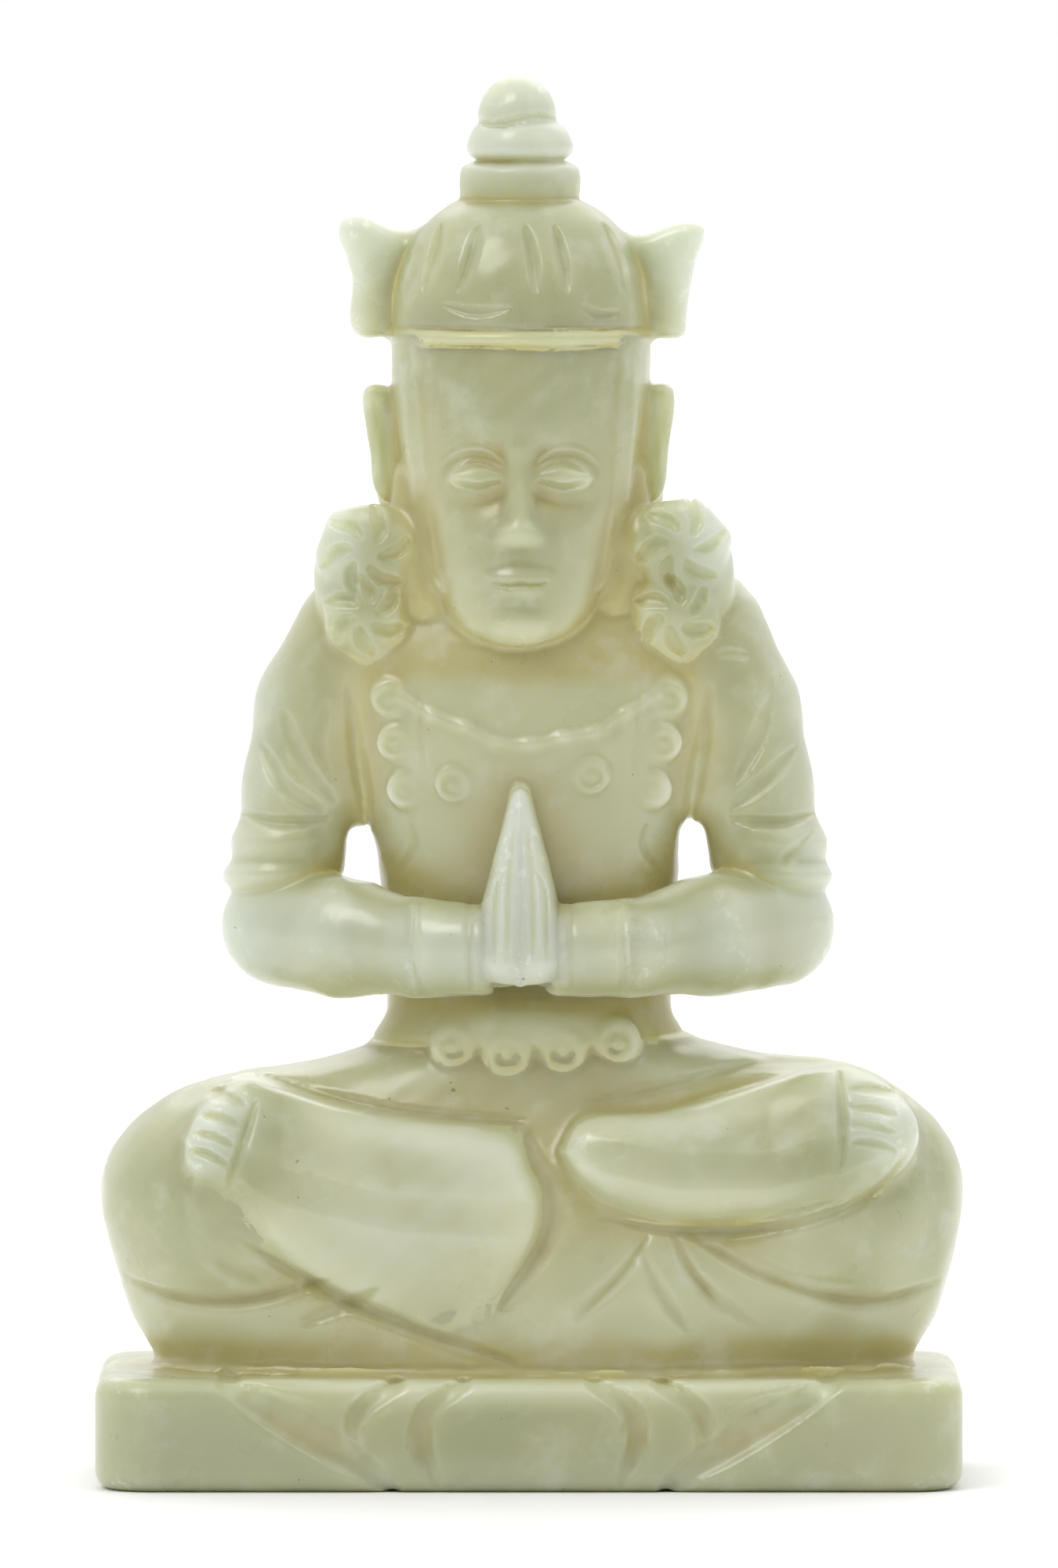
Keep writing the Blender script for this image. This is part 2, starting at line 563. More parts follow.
# %% Every cut
both(cut, [(2.6, 5.1), (4.5, 4.0), (5.0, 2.4), (4.2, 0.2)], 0.55, 0.5)
both(cut, [(5.6, 5.1), (7.4, 4.2), (8.1, 3.0), (7.9, 1.9)], 0.5, 0.46)
both(cut, [(14.4, 5.2), (11.6, 3.6), (8.8, 1.9), (5.9, 0.1)], 0.8, 0.5)
both(cut, [(13.2, 5.1), (10.4, 3.9), (8.4, 2.6)], 0.3, 0.2)

fold([(-18.8, 9.5), (-16.0, 8.6), (-12.6, 8.7), (-9.0, 9.8)], 0.5, 0.42)
fold([(-15.6, 14.5), (-15.8, 12.4), (-14.3, 10.4), (-12.3, 9.3)], 0.7, 0.2)
cut([(-10.6, 7.6), (-8.4, 8.5), (-6.8, 9.4)], 0.4, 0.24)
fold([(-13.6, 11.6), (-10.6, 9.9), (-8.1, 8.6), (-4.1, 7.0), (-0.4, 5.8)], 0.55, 0.4)
fold([(-0.2, 16.6), (0.3, 15.2), (1.1, 13.4), (0.6, 11.2), (-1.5, 8.2)], 0.8, 0.35)
fold([(5.6, 12.0), (4.2, 9.9), (2.0, 7.8)], 0.45, 0.34)
cut([(5.1, 11.2), (5.9, 9.4), (7.4, 7.2)], 0.32, 0.3)
cut([(6.6, 11.9), (7.6, 9.9), (8.9, 8.1)], 0.3, 0.28)
cut([(7.1, 10.4), (8.8, 8.8), (10.6, 7.4)], 0.28, 0.2)
fold([(7.0, 12.0), (10.3, 10.1), (13.5, 8.9), (16.4, 8.6), (19.2, 9.4)], 0.5, 0.42)
fold([(9.0, 11.4), (12.0, 9.9), (15.0, 9.4)], 0.3, 0.16)
fold([(3.0, 12.6), (7.0, 11.9), (12.0, 12.2), (15.6, 13.6), (17.4, 15.6)], 0.4, 0.3)
fold([(-12.6, 18.9), (-9.4, 18.0), (-5.4, 17.2), (0.0, 16.9)], 0.4, 0.3)
fold([(2.4, 17.6), (6.4, 18.4), (10.0, 19.2), (14.6, 19.4)], 0.4, 0.26)

fold([(-12.5, 18.0), (-13.0, 16.6), (-13.6, 14.9), (-13.9, 14.0)], 0.4, 0.32)
fold([(14.25, 19.3), (14.4, 17.6), (14.45, 15.8), (14.3, 14.6)], 0.4, 0.32)
for i in range(4):
    cut([(-13.0 - 0.22 * i, 17.75 - 0.95 * i), (-14.0 - 0.25 * i, 18.1 - 0.85 * i),
         (-14.8 - 0.3 * i, 18.0 - 0.75 * i)], 0.24, 0.22)
    cut([(14.7, 18.5 - 0.8 * i), (15.8, 18.45 - 0.8 * i), (17.0, 18.1 - 0.8 * i)], 0.22, 0.22)

both(fold, [(8.4, 37.0), (8.0, 34.0), (7.5, 31.2), (7.4, 30.0)], 0.6, 0.25)
both(fold, [(5.2, 37.4), (5.0, 35.4), (4.9, 33.0)], 0.28, 0.08)
both(fold, [(5.5, 30.6), (5.3, 29.4), (6.2, 28.2)], 0.3, 0.12)
both(cut, [(13.4, 30.9), (11.4, 30.5), (9.2, 30.7)], 0.3, 0.26)
cut([(-12.4, 34.2), (-11.3, 32.2), (-9.4, 31.0)], 0.42, 0.26)
cut([(-11.4, 35.8), (-10.5, 33.4), (-8.9, 31.4)], 0.42, 0.26)
fold([(-9.3, 36.2), (-9.7, 34.2), (-9.2, 32.4)], 0.45, 0.2)
cut([(11.2, 36.5), (10.6, 34.4), (9.5, 32.2)], 0.42, 0.26)
cut([(12.4, 34.0), (11.0, 32.5), (9.2, 31.1)], 0.42, 0.28)
cut([(8.6, 38.2), (9.4, 38.35), (10.2, 38.2)], 0.22, 0.2)
fold([(13.2, 30.0), (12.2, 29.2), (11.6, 28.4)], 0.4, 0.22)


def at_head(side, *points):
    """Points measured sideways from the middle of the head, on one side of it."""
    return [(HEAD_X + side * x, z) for x, z in points]


for side, word in SIDES:
    for offset, top in ((0.62, 30.6), (1.2, 28.8)):
        cut(at_head(side, (offset * 0.5, top), (offset * 0.9, 27.6), (offset, 24.4)), 0.2, 0.2)
    for edge_x in middle(f"{word}_wrist_cuff")[0] + side * np.array([-1.2, 1.2]):
        cut([(edge_x, 27.2), (edge_x, 25.0), (edge_x, 22.8)], 0.2, 0.12)
    fold(at_head(side, (5.1, CROWN_Z), (4.85, 48.0), (4.5, 44.6), (3.9, 42.0)), 0.4, 0.08)
    fold(at_head(side, (6.75, 50.1), (6.3, 48.2), (6.1, 46.0)), 0.45, 0.16)
    eye_x = HEAD_X + side * EYE_WIDTH
    cut([(eye_x - 1.15, EYE_Z - 0.12), (eye_x, EYE_Z - 0.36), (eye_x + 1.15, EYE_Z - 0.12)], 0.17, 0.2)
    cut([(eye_x - 1.2, EYE_Z + 0.2), (eye_x, EYE_Z + 0.66), (eye_x + 1.2, EYE_Z + 0.2)], 0.15, 0.1)
    fold(at_head(side, (0.7, BROW_Z - 0.5), (1.6, BROW_Z + 0.1), (2.8, BROW_Z + 0.05), (3.7, BROW_Z - 0.6)),
         0.28, -0.14)
lip_line = ((-1.35, 0.06), (-0.5, -0.03), (0, 0.03), (0.5, -0.03), (1.35, 0.06))
cut([(HEAD_X + x, MOUTH_Z + rise) for x, rise in lip_line], 0.14, 0.16)

for flower_x, flower_z, radius, turn in blossoms:
    for i in range(6):
        way = [math.radians(turn + 60 * i + twist) for twist in (0, 18, 40)]
        reach = (0.28 * radius, 0.62 * radius, 1.02 * radius)
        petal = [(flower_x + r * math.cos(a), flower_z + r * math.sin(a)) for r, a in zip(reach, way)]
        cut(petal, 0.34, 0.36)

FLUTES = [(-5.0, -5.7), (-4.0, -4.9), (-2.3, -3.3), (-0.2, 0.35), (1.15, 1.8), (3.4, 4.5), (4.6, 5.5)]
for view in ("front", "back"):
    for top_x, foot_x in FLUTES:
        top_z, foot_z, until = (57.2, 54.6, -1.6) if abs(top_x) > 4.4 else (58.2, 55.0, -0.5)
        middle_x, middle_z = (top_x + foot_x) / 2 + 0.1, (top_z + foot_z) / 2
        fold([(top_x, top_z), (middle_x, middle_z), (foot_x, foot_z)], 0.42, 0.36, view, until)
    cut([(-4.0, 54.5), (-2.4, 54.15), (-0.8, 54.4)], 0.24, 0.22, view)
    cut([(2.4, 54.5), (3.2, 54.0), (4.2, 54.1)], 0.26, 0.22, view)
cut([(-3.0, 63.0), (-1.4, 62.75), (0.2, 63.15), (2.2, 62.9)], 0.22, 0.2)
print(len(cuts), "wheel cuts")

# %% [markdown]
# ## From fields to meshes
#
# All members blend into one stone, and the two small gaps between the arms and the waist are drilled through
# it. A piece is the part of the stone that is nearer to its own members than to any other, and it dives a
# little way under its neighbours, so that no gap opens between them. Members whose meeting doesn't show
# share one piece. Each field is sampled coarsely first, and finely only in the small blocks that the surface
# passes through, which keeps a tenth-of-a-millimetre grid affordable.

# %% One stone, sampled in blocks
REACH = 2.6
FAR = 9.0
DIVE, SKIRT = 0.35, 0.08
GAPS = ((-7.86, 29.15), (7.56, 29.4))
GAP_HALF_X, GAP_HALF_Z = 0.62, 1.1
ROOM = {"left_knee": 6.0, "right_knee": 4.0, "left_foot": 5.0, "right_foot": 2.6, "left_shin": 5.0,
        "right_shin": 5.0, "torso": 2.0, "head": 2.4, "left_upper_arm": 2.0, "right_upper_arm": 2.0}
boxes = {}
for name in members:
    low, high = box_mm(name)
    boxes[name] = low - ROOM.get(name, 1.2), high + ROOM.get(name, 1.2)
boxes["lap"] = SLAB_LOW + (0, 0, SLAB_TOP - 1), np.array([SLAB_HIGH[0], SLAB_HIGH[1], SASH_TOP + 1])


def distances(x, y, z, reach=REACH):
    """One distance per member. A member whose box is far away gives just the distance to that box."""
    found = {}
    for name, field in members.items():
        low, high = boxes[name]
        mid, size = (low + high) / 2, (high - low) / 2
        qx, qy, qz = np.abs(x - mid[0]) - size[0], np.abs(y - mid[1]) - size[1], np.abs(z - mid[2]) - size[2]
        away = np.maximum(np.maximum(qx, qy), qz)
        close = np.flatnonzero(away < reach)
        if len(close):
            values = np.maximum(away, reach).astype(np.float32)
            values[close] = field(x[close], y[close], z[close])
            found[name] = values
    return found


def stone(found, x, z):
    """The whole carving, before the wheel cuts, from the members' distances."""
    total = np.full(x.shape, FAR, np.float32)
    for name, values in found.items():
        total = soft_min(total, values, softness[name])
    for gap_x, gap_z in GAPS:
        across, up = np.abs(x - gap_x) / GAP_HALF_X, np.abs(z - gap_z) / GAP_HALF_Z
        total = soft_max(total, GAP_HALF_X * (1 - (across ** 3 + up ** 3) ** (1 / 3)), 0.4)
    return total


def grain(x, y, z):
    """The slight unevenness of a surface that was ground and polished by hand."""
    slow = np.sin(0.9 * x + 0.4 * z + 1.3) * np.sin(0.7 * z - 0.5 * y) + np.sin(1.7 * y + 0.8 * x)
    quick = np.sin(2.9 * x - 1.1 * z) * np.sin(2.3 * z + 1.9 * y + 0.6)
    return 0.030 * slow + 0.014 * quick


def piece_field(name, x, y, z, voxel):
    """Distance to one piece of the carved stone: the part that is nearer to its members than to any other."""
    found = distances(x, y, z)
    own, others = np.full(x.shape, FAR, np.float32), np.full(x.shape, FAR, np.float32)
    for key, values in found.items():
        if key in groups[name]:
            own = np.minimum(own, values)
        else:
            others = np.minimum(others, values)
    whole = stone(found, x, z) + cut_depth(x, y, z)
    if name != "plinth":
        whole = whole + grain(x, y, z)
    beyond = (own - others) / 2
    dive = DIVE * np.maximum(beyond - 0.6 * voxel, 0)
    return soft_max(whole + dive, beyond - SKIRT - 1.2 * voxel, 0.05)


groups = {name: [name] for name in members}
SHARED = {"crossed_legs": ["lap", "right_knee", "left_knee", "right_shin", "left_shin"],
          "chest_and_neck": ["torso", "neck", "waist_sash", "sash_pendants", "necklace", "chest_rosettes",
                             "right_bead_string", "left_bead_string"],
          "right_sleeve": ["right_upper_arm", "right_sleeve_fold"],
          "left_sleeve": ["left_upper_arm", "left_sleeve_fold"]}
for name, joined in SHARED.items():
    groups[name] = joined
    for member in joined:
        del groups[member]
BLOCK = 4


def sample(name, voxel):
    """The piece's field on a dense grid, exact near the surface and only its sign elsewhere."""
    low = np.min([boxes[member][0] for member in groups[name]], axis=0) - 0.2
    high = np.max([boxes[member][1] for member in groups[name]], axis=0) + 0.2
    count = np.ceil((high - low) / (voxel * BLOCK)).astype(int)
    axes = [low[i] + (np.arange(count[i]) + 0.5) * voxel * BLOCK for i in range(3)]
    centre = np.stack(np.meshgrid(*axes, indexing="ij"), -1).reshape(-1, 3).astype(np.float32)
    rough = piece_field(name, *centre.T, voxel)
    busy = np.flatnonzero(np.abs(rough) < voxel * BLOCK * 0.9 + 0.35)
    values = np.repeat(np.sign(rough)[:, None], BLOCK ** 3, axis=1).astype(np.float32)
    inner = (np.arange(BLOCK) + 0.5 - BLOCK / 2) * voxel
    offsets = np.stack(np.meshgrid(inner, inner, inner, indexing="ij"), -1).reshape(-1, 3).astype(np.float32)
    for start in range(0, len(busy), 4000):
        some = busy[start:start + 4000]
        points = (centre[some][:, None, :] + offsets[None]).reshape(-1, 3)
        values[some] = piece_field(name, *points.T, voxel).reshape(-1, BLOCK ** 3)
    values = values.reshape(*count, BLOCK, BLOCK, BLOCK).transpose(0, 3, 1, 4, 2, 5)
    return values.reshape(*(count * BLOCK)), low + 0.5 * voxel


def without_crumbs(points, quads):
    """Drops loose crumbs and keeps the shells of a fair size."""
    parent = np.arange(len(points))
    for _ in range(200):
        least = parent[quads].min(axis=1)
        fresh = parent.copy()
        for corner in range(4):
            np.minimum.at(fresh, quads[:, corner], least)
        fresh = fresh[fresh]
        if (fresh == parent).all():
            break
        parent = fresh
    label, size = np.unique(parent, return_counts=True)
    keep = label[size > max(60, size.max() * 0.05)]
    good = np.isin(parent[quads[:, 0]], keep)
    used = np.unique(quads[good])
    new_index = np.zeros(len(points), int)
    new_index[used] = np.arange(len(used))
    return points[used], new_index[quads[good]], len(keep)


print("sampler ready, reach", REACH, "mm")

# %% [markdown]
# ## Marks for the finish
#
# Thin rims of jade let light through and look pale and cool, while creases and thick places look deeper and
# more yellow. Four marks on each vertex tell the material which is which. A short step outwards leads well
# away from the stone, except in a crease. The share of stone around a place, from a coarse grid of filled
# cells blurred over a small and a large radius, tells how sunken the place is and how much bulk lies there.
# The fourth mark is how deep the wheel has cut.

# %% Four marks for the material
CELL, MARGIN = 0.5, 8.0
NEAR_MM, FAR_MM = 1.3, 3.4
low_cell = SLAB_LOW - MARGIN
cells = np.ceil((np.array([SLAB_HIGH[0], SLAB_HIGH[1], TIP_Z]) + MARGIN - low_cell) / CELL).astype(int)
axes = [(low_cell[i] + CELL * np.arange(cells[i])).astype(np.float32) for i in range(3)]
cloud = [side.ravel() for side in np.meshgrid(*axes, indexing="ij")]
filled = np.clip(0.5 - stone(distances(*cloud), cloud[0], cloud[2]) / CELL, 0, 1).reshape(cells)
waves = np.fft.rfftn(filled)
steps = [np.fft.fftfreq(int(n), CELL) for n in cells[:2]] + [np.fft.rfftfreq(int(cells[2]), CELL)]
per_mm = sum(part ** 2 for part in np.meshgrid(*steps, indexing="ij"))


def blurred(radius):
    """How much of the space around each cell is stone, within about the given radius."""
    spread = np.exp(-2 * (math.pi * radius) ** 2 * per_mm)
    return np.fft.irfftn(waves * spread, s=[int(n) for n in cells], axes=(0, 1, 2))


def look_up(grid, points):
    """The grid's value at each point, blended from the eight cells around it."""
    at = (points - low_cell) / CELL
    base = np.clip(np.floor(at).astype(int), 0, cells - 2)
    part = at - base
    total = np.zeros(len(points))
    for corner in np.ndindex(2, 2, 2):
        share = np.prod(np.where(corner, part, 1 - part), axis=1)
        total += share * grid[tuple((base + corner).T)]
    return total


near_fill, far_fill = blurred(NEAR_MM), blurred(FAR_MM)
CREASE_STEP, FULL_CUT = 0.45, 0.2


def marks(points, normals):
    """The four marks of each vertex, by name."""
    x, y, z = (points + normals * CREASE_STEP).astype(np.float32).T
    outside = stone(distances(x, y, z, 1.0), x, z) + cut_depth(x, y, z)
    depth = np.abs(cut_depth(*points.astype(np.float32).T))
    return {"crease": np.clip(outside / CREASE_STEP, 0, 1), "sunken": look_up(near_fill, points),
            "bulk": look_up(far_fill, points), "ground": np.clip(depth / FULL_CUT, 0, 1)}


print("grid of", cells, "cells for the marks")

# %% [markdown]
# Voxels are finer where the carving is fine. Three short lists correct the marks of single pieces. A cloudy
# piece shows at least this much bulk, because of the stone behind or under it. A milky piece looks less
# sunken and a clear one less bulky than the grid says. The chest looks more sunken towards the throat, in
# the chin's shade.

# %% Carve the pieces
VOXEL, QUICK_VOXEL = 0.11, 1.8
VOXELS = {"plinth": 0.16, "crossed_legs": 0.17, "chest_and_neck": 0.1, "head": 0.085,
          "left_hand": 0.08, "right_hand": 0.08, "left_earring": 0.1, "right_earring": 0.1}
CLOUDY = {"plinth": 0.305, "topknot_bud": 0.235, "topknot_middle": 0.21, "right_crown_wing": 0.18,
          "left_crown_wing": 0.18, "head": 0.36, "crown_band": 0.42, "crown_dome": 0.33}
MILKY = {"left_foot": 0.08, "right_foot": 0.05, "left_forearm": 0.08, "right_forearm": 0.08,
         "left_hand": 0.05, "right_hand": 0.05, "crossed_legs": 0.01, "head": -0.03, "crown_band": -0.1}
CLEAR = {"left_forearm": 0.02, "right_forearm": 0.02, "left_hand": 0.04, "right_hand": 0.04,
         "left_wrist_cuff": 0.03, "right_wrist_cuff": 0.03}
THROAT_FROM, THROAT_OVER, THROAT_SHADE = 36.5, 3.0, 0.22
FACE_GROUND = 0.2
FOLDED = 0.35


def carve(name):
    """Meshes one piece of the stone and gives it its marks.

    A face whose corners point away from it is a sliver. Shaded flat, it can't catch a false light.
    """
    voxel = VOXELS.get(name, VOXEL) * 1.0
    values, first = sample(name, voxel)
    grid = vdb.FloatGrid(1.0)
    grid.copyFromArray(values)
    points, quads = grid.convertToQuads(isovalue=0.0)
    points, quads, shells = without_crumbs(np.array(points), np.array(quads, int))
    points = first + points * voxel
    mesh = bpy.data.meshes.new(name)
    mesh.vertices.add(len(points))
    mesh.vertices.foreach_set("co", (points * MM).astype(np.float32).ravel())
    mesh.loops.add(len(quads) * 4)
    mesh.loops.foreach_set("vertex_index", quads.astype(np.int32).ravel())
    mesh.polygons.add(len(quads))
    mesh.polygons.foreach_set("loop_start", np.arange(0, len(quads) * 4, 4, dtype=np.int32))
    mesh.update(calc_edges=True)
    normals = np.zeros((len(points), 3), np.float32)
    mesh.vertex_normals.foreach_get("vector", normals.reshape(-1))
    facing = np.zeros((len(quads), 3), np.float32)
    mesh.polygon_normals.foreach_get("vector", facing.reshape(-1))
    agree = np.einsum("ijk,ik->ij", normals[quads], facing).min(axis=1)
    mesh.polygons.foreach_set("use_smooth", agree > FOLDED)
    amounts = marks(points, normals)
    amounts["bulk"] = np.maximum(amounts["bulk"] - CLEAR.get(name, 0.0), CLOUDY.get(name, 0.0))
    amounts["sunken"] = amounts["sunken"] - MILKY.get(name, 0.0)
    if name == "chest_and_neck":
        shade = THROAT_SHADE * np.clip((points[:, 2] - THROAT_FROM) / THROAT_OVER, 0, 1)
        amounts["sunken"] = amounts["sunken"] + shade
    if name == "head":
        amounts["ground"] = FACE_GROUND * amounts["ground"]
    for mark, amount in amounts.items():
        layer = mesh.attributes.new(mark, "FLOAT", "POINT")
        layer.data.foreach_set("value", amount.astype(np.float32))
    piece = bpy.data.objects.new("jade_" + name, mesh)
    bpy.context.scene.collection.objects.link(piece)
    return piece, shells


pieces = {}
for name in groups:
    pieces[name], shells = carve(name)
    print(name, len(pieces[name].data.polygons), "faces in", shells, "shells")
print("carved", len(pieces), "pieces,", sum(len(p.data.polygons) for p in pieces.values()), "faces")

# %% [markdown]
# ## The finish
#
# One material dresses every piece, since it is all one stone. It is built from four small node groups, which
# the next cells make one by one. These helpers keep them short.

# %% Node helpers
def new_group(name, inputs, outputs):
    """An empty shader node group with named sockets, and its two end nodes."""
    tree = bpy.data.node_groups.new(name, "ShaderNodeTree")
    for names, way in ((inputs, "INPUT"), (outputs, "OUTPUT")):
        for socket in names:
            kind = "NodeSocketColor" if socket == "Color" else "NodeSocketFloat"
            tree.interface.new_socket(socket, in_out=way, socket_type=kind)
    return tree, tree.nodes.new("NodeGroupInput").outputs, tree.nodes.new("NodeGroupOutput").inputs


def make(tree, kind, out, inputs, **settings):
    """Adds one node, sets it up, feeds its inputs with links or plain values, and gives back one output."""
    node = tree.nodes.new(kind)
    for key, value in settings.items():
        setattr(node, key, value)
    for socket, value in inputs.items():
        if isinstance(value, bpy.types.NodeSocket):
            tree.links.new(value, node.inputs[socket])
        else:
            node.inputs[socket].default_value = value
    return node.outputs[out]


def fade(tree, value, low, high, dark=0.0, bright=1.0):
    """Goes smoothly from dark to bright while the value goes from low to high."""
    ends = {"Value": value, "From Min": low, "From Max": high, "To Min": dark, "To Max": bright}
    return make(tree, "ShaderNodeMapRange", "Result", ends, interpolation_type="SMOOTHSTEP")


def mix(tree, factor, a, b):
    return make(tree, "ShaderNodeMix", "Result", {"Factor": factor, "A": a, "B": b}, data_type="RGBA")


def maths(tree, operation, a, b):
    return make(tree, "ShaderNodeMath", "Value", {0: a, 1: b}, operation=operation)


def noise(tree, scale, detail, rough=0.5):
    """Noise that is fixed in the stone, with this many waves to the metre."""
    place = make(tree, "ShaderNodeTexCoord", "Object", {})
    inputs = {"Vector": place, "Scale": scale, "Detail": detail, "Roughness": rough}
    return make(tree, "ShaderNodeTexNoise", "Fac", inputs)


def use_group(tree, group, inputs):
    """Places a group in a tree, feeds it, and gives back the node."""
    node = tree.nodes.new("ShaderNodeGroup")
    node.node_tree = group
    for socket, value in inputs.items():
        tree.links.new(value, node.inputs[socket])
    return node


print("node helpers ready")

# %% [markdown]
# **Stone colour.** Where much stone lies around a place it looks yellow green. A slimmer body is a little
# darker and greyer, and thin rims such as the crown's ribbon ends and the topknot's tip turn pale and cool.
# Rounded places that stand forward catch a milky light, and sunken places and creases hold a deeper yellow.

# %% Stone colour
DEEP, THICK, SLIM = (0.50, 0.455, 0.20, 1), (0.55, 0.565, 0.36, 1), (0.43, 0.445, 0.255, 1)
RIM, RAISED, CREASE = (0.61, 0.655, 0.565, 1), (0.70, 0.72, 0.58, 1), (0.53, 0.49, 0.28, 1)
stone_colour, given, result = new_group("Stone colour", ["Bulk", "Sunken", "Crease"], ["Color"])
tree = stone_colour
bulk, sunken, crease = given["Bulk"], given["Sunken"], given["Crease"]
colour = mix(tree, fade(tree, bulk, 0.46, 0.36), THICK, SLIM)
colour = mix(tree, fade(tree, bulk, 0.345, 0.19), colour, RIM)
forward = maths(tree, "MULTIPLY", fade(tree, sunken, 0.45, 0.34), fade(tree, bulk, 0.32, 0.40, 0.0, 0.8))
colour = mix(tree, forward, colour, RAISED)
colour = mix(tree, fade(tree, sunken, 0.47, 0.60), colour, DEEP)
colour = mix(tree, fade(tree, crease, 0.75, 0.1, 0.0, 0.5), colour, CREASE)
tree.links.new(colour, result["Color"])
print("stone colour group:", len(stone_colour.nodes), "nodes")

# %% [markdown]
# **Clouds and specks.** Slow warm clouds a few millimetres across, finer milky veils, and a scatter of tiny
# dark specks of dust and grit, as a little figure that has stood about for years collects them.

# %% Clouds and specks
CLOUD, VEIL, SPECK = (0.60, 0.585, 0.36, 1), (0.68, 0.71, 0.60, 1), (0.20, 0.15, 0.08, 1)
clouded, given, result = new_group("Clouds and specks", ["Color"], ["Color"])
clouds = fade(clouded, noise(clouded, 170.0, 3.0), 0.38, 0.68, 0.0, 0.3)
colour = mix(clouded, clouds, given["Color"], CLOUD)
veils = fade(clouded, noise(clouded, 420.0, 4.0, 0.6), 0.5, 0.72, 0.0, 0.3)
colour = mix(clouded, veils, colour, VEIL)
specks = fade(clouded, noise(clouded, 2600.0, 1.0), 0.79, 0.83, 0.0, 0.6)
colour = mix(clouded, specks, colour, SPECK)
clouded.links.new(colour, result["Color"])
print("clouds and specks group:", len(clouded.nodes), "nodes")

# %% [markdown]
# **Worn edges.** A sharp outer edge loses its polish in small white chips. A wheel cut is never polished to
# its floor, so it looks a little frosted.

# %% Worn edges
FROST, CHIP = (0.68, 0.70, 0.52, 1), (0.84, 0.87, 0.80, 1)
worn, given, result = new_group("Worn edges", ["Color", "Sunken", "Ground"], ["Color"])
uneven = fade(worn, noise(worn, 700.0, 2.0), 0.2, 0.7, 0.1, 0.42)
frosted = maths(worn, "MULTIPLY", given["Ground"], uneven)
colour = mix(worn, frosted, given["Color"], FROST)
edges = fade(worn, given["Sunken"], 0.33, 0.22)
chips = maths(worn, "MULTIPLY", edges, fade(worn, noise(worn, 1500.0, 3.0, 0.65), 0.56, 0.66, 0.0, 0.45))
colour = mix(worn, chips, colour, CHIP)
worn.links.new(colour, result["Color"])
print("worn edges group:", len(worn.nodes), "nodes")

# %% [markdown]
# **Polish.** Hand polish leaves patches that are duller than others and a faint waxy ripple.

# %% Hand polish
polish, given, result = new_group("Hand polish", ["Ground"], ["Roughness", "Ripple"])
patches = fade(polish, noise(polish, 300.0, 3.0), 0.3, 0.7, 0.26, 0.4)
rough = maths(polish, "ADD", patches, maths(polish, "MULTIPLY", given["Ground"], 0.15))
polish.links.new(rough, result["Roughness"])
polish.links.new(noise(polish, 900.0, 3.0), result["Ripple"])
print("hand polish group:", len(polish.nodes), "nodes")

# %% [markdown]
# **The material.** Light enters jade, scatters for a few millimetres and comes out again, which makes it
# glow. A piece's buried skirt would stay dark, because its neighbour covers it, and the dark would show
# through as a seam. Letting part of the light through a surface from behind cancels that. A clear coat gives
# the soft shine of wax.

# %% The jade and its pieces
material = bpy.data.materials.new("polished_celadon_jade")
material.use_nodes = True
tree = material.node_tree
shader = tree.nodes["Principled BSDF"]
mark = {}
for name in ("bulk", "sunken", "crease", "ground"):
    mark[name] = make(tree, "ShaderNodeAttribute", "Fac", {}, attribute_name=name)
given = {"Bulk": mark["bulk"], "Sunken": mark["sunken"], "Crease": mark["crease"]}
base = use_group(tree, stone_colour, given)
base = use_group(tree, clouded, {"Color": base.outputs["Color"]})
given = {"Color": base.outputs["Color"], "Sunken": mark["sunken"], "Ground": mark["ground"]}
base = use_group(tree, worn, given)
tree.links.new(base.outputs["Color"], shader.inputs["Base Color"])
shine = use_group(tree, polish, {"Ground": mark["ground"]})
tree.links.new(shine.outputs["Roughness"], shader.inputs["Roughness"])
ripple = {"Height": shine.outputs["Ripple"], "Strength": 0.12, "Distance": 0.0001}
tree.links.new(make(tree, "ShaderNodeBump", "Normal", ripple), shader.inputs["Normal"])
behind = make(tree, "ShaderNodeNewGeometry", "Backfacing", {})
tree.links.new(maths(tree, "SUBTRACT", 1.0, maths(tree, "MULTIPLY", behind, 0.6)), shader.inputs["Alpha"])
SETTINGS = {"Subsurface Weight": 1.0, "Subsurface Radius": (1.0, 1.0, 0.75), "Subsurface Scale": 0.0032,
            "Coat Weight": 0.45, "Coat Roughness": 0.2}
for socket, value in SETTINGS.items():
    shader.inputs[socket].default_value = value
for name, piece in pieces.items():
    piece.data.materials.append(material)
    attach(piece, "root")
    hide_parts(*groups[name])
print(len(pieces), "pieces dressed in", material.name)

# %% [markdown]
# ## The floor
#
# The figure stands on a white board with no edge in sight. It belongs to the stage, not to the part.

# %% The floor
scene = bpy.context.scene
scene.view_settings.view_transform = "Standard"
floor_mesh = bpy.data.meshes.new("floor")
floor_mesh.from_pydata([(-3, -3, 0), (3, -3, 0), (3, 3, 0), (-3, 3, 0)], [], [(0, 1, 2, 3)])
floor = bpy.data.objects.new("floor", floor_mesh)
scene.collection.objects.link(floor)
board = bpy.data.materials.new("white_board")
board.use_nodes = True
board_shader = board.node_tree.nodes["Principled BSDF"]
board_shader.inputs["Base Color"].default_value = (0.98, 0.98, 0.98, 1)
board_shader.inputs["Roughness"].default_value = 0.8
floor_mesh.materials.append(board)
print("floor laid at height 0")

# %% [markdown]
# ## The light
#
# A translucent stone needs light from behind to glow, and a dimmer front so that its colour is not washed
# out. Two soft keys, left and right of the viewer, bring out the carving, and a wide light behind lights up
# the rims. All three are far away, so that the whole floor is equally bright. The camera itself sees plain
# white.

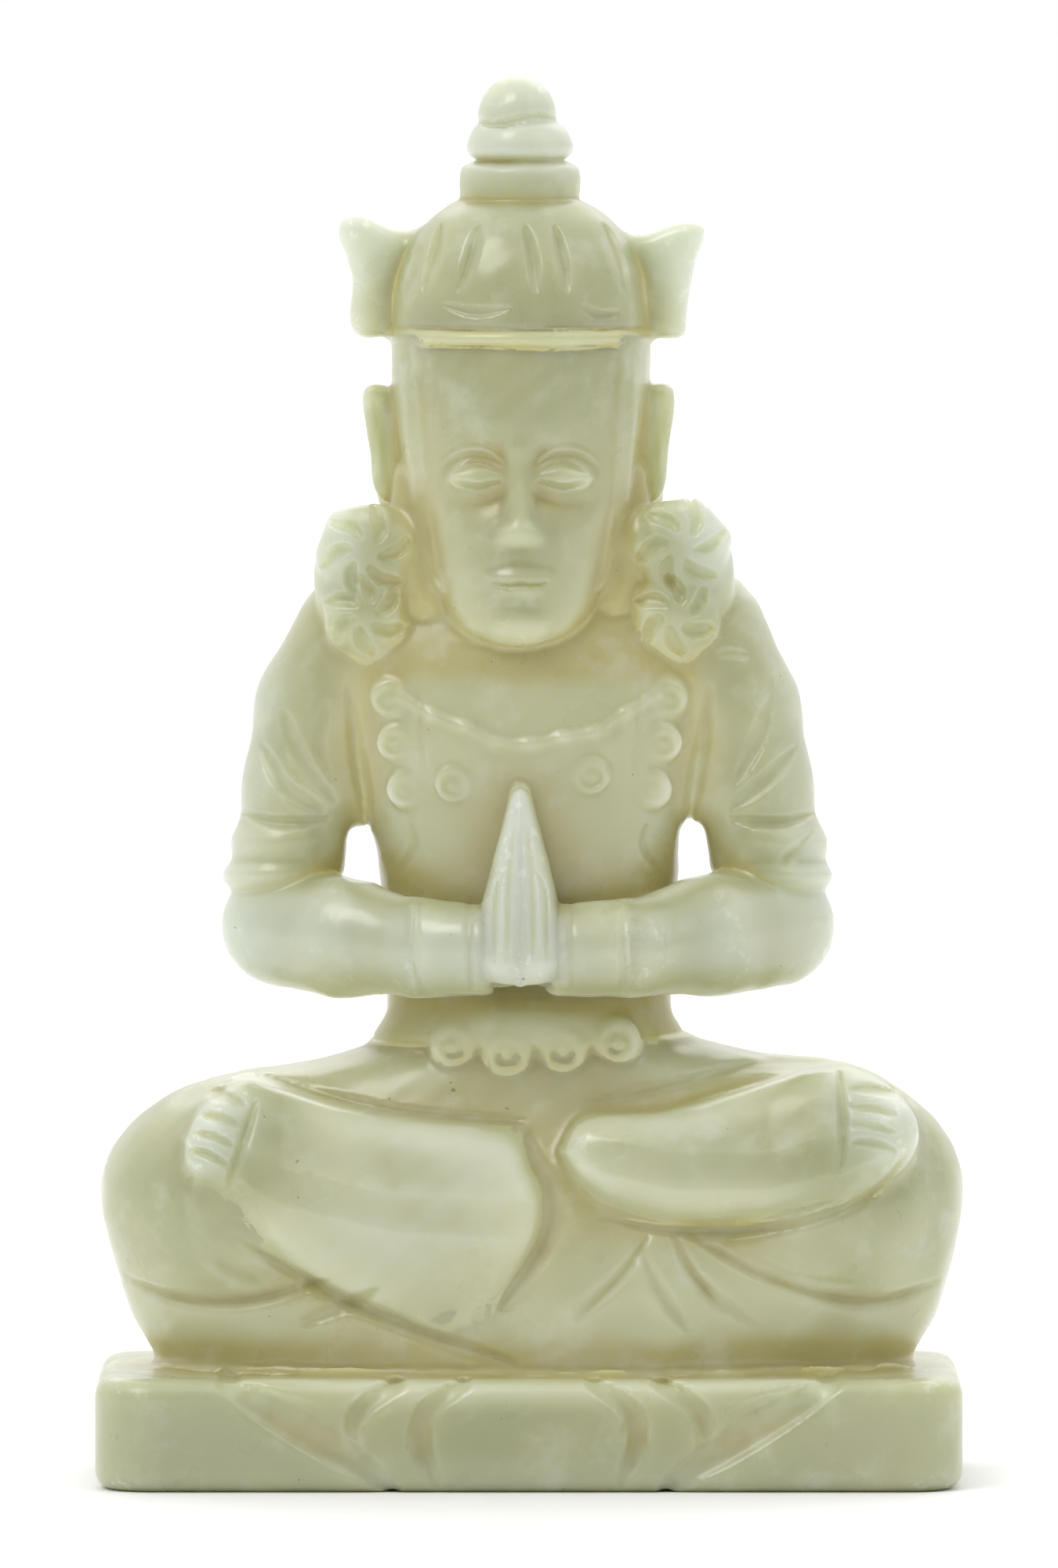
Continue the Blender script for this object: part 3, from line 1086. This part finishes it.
# %% The light
studio = bpy.data.worlds.new("studio")
scene.world = studio
studio.use_nodes = True
sky = studio.node_tree
background = sky.nodes["Background"]
background.inputs["Color"].default_value = (1, 1, 1, 1)
toward = make(sky, "ShaderNodeTexCoord", "Generated", {})
behind = fade(sky, make(sky, "ShaderNodeSeparateXYZ", "Y", {"Vector": toward}), -0.9, 0.9, 0.12, 0.9)
above = fade(sky, make(sky, "ShaderNodeSeparateXYZ", "Z", {"Vector": toward}), 0.35, 0.85, 0.0, 0.75)
seen = make(sky, "ShaderNodeLightPath", "Is Camera Ray", {})
sky.links.new(maths(sky, "MAXIMUM", maths(sky, "ADD", behind, above), seen), background.inputs["Strength"])


def far_light(name, azimuth, rise, power, spread):
    """A broad far light, at angles round from the front (positive to the viewer's right) and up."""
    light = bpy.data.lights.new(name, "SUN")
    light.energy, light.angle = power, math.radians(spread)
    lamp = bpy.data.objects.new(name, light)
    scene.collection.objects.link(lamp)
    lamp.rotation_euler = (math.radians(90 - rise), 0, math.radians(azimuth))


far_light("left key", -38, 50, 0.76, 26)
far_light("right key", 50, 38, 0.15, 26)
far_light("behind", 170, 40, 0.4, 60)
print("studio and", len(bpy.data.lights), "lights ready")

# %% [markdown]
# ## The camera
#
# A long lens, a few degrees above the figure. It follows from the distance and from the height of the
# picture at the figure, so the figure's size in the picture is one number.

# %% The camera
DISTANCE, VIEW_HEIGHT, RISE = 0.9, 0.07264, math.radians(3.0)
TARGET = Vector((0.00001, 0.0, 0.03217))
camera_data = bpy.data.cameras.new("camera")
camera = bpy.data.objects.new("camera", camera_data)
scene.collection.objects.link(camera)
scene.camera = camera
camera_data.sensor_fit = "VERTICAL"
camera_data.sensor_height = 24
camera_data.lens = 24 * DISTANCE / VIEW_HEIGHT
camera.location = TARGET + DISTANCE * Vector((0, -math.cos(RISE), math.sin(RISE)))
camera.rotation_euler = (math.pi / 2 - RISE, 0, 0)
print("camera at", [round(v, 3) for v in camera.location], "lens", round(camera_data.lens), "mm")
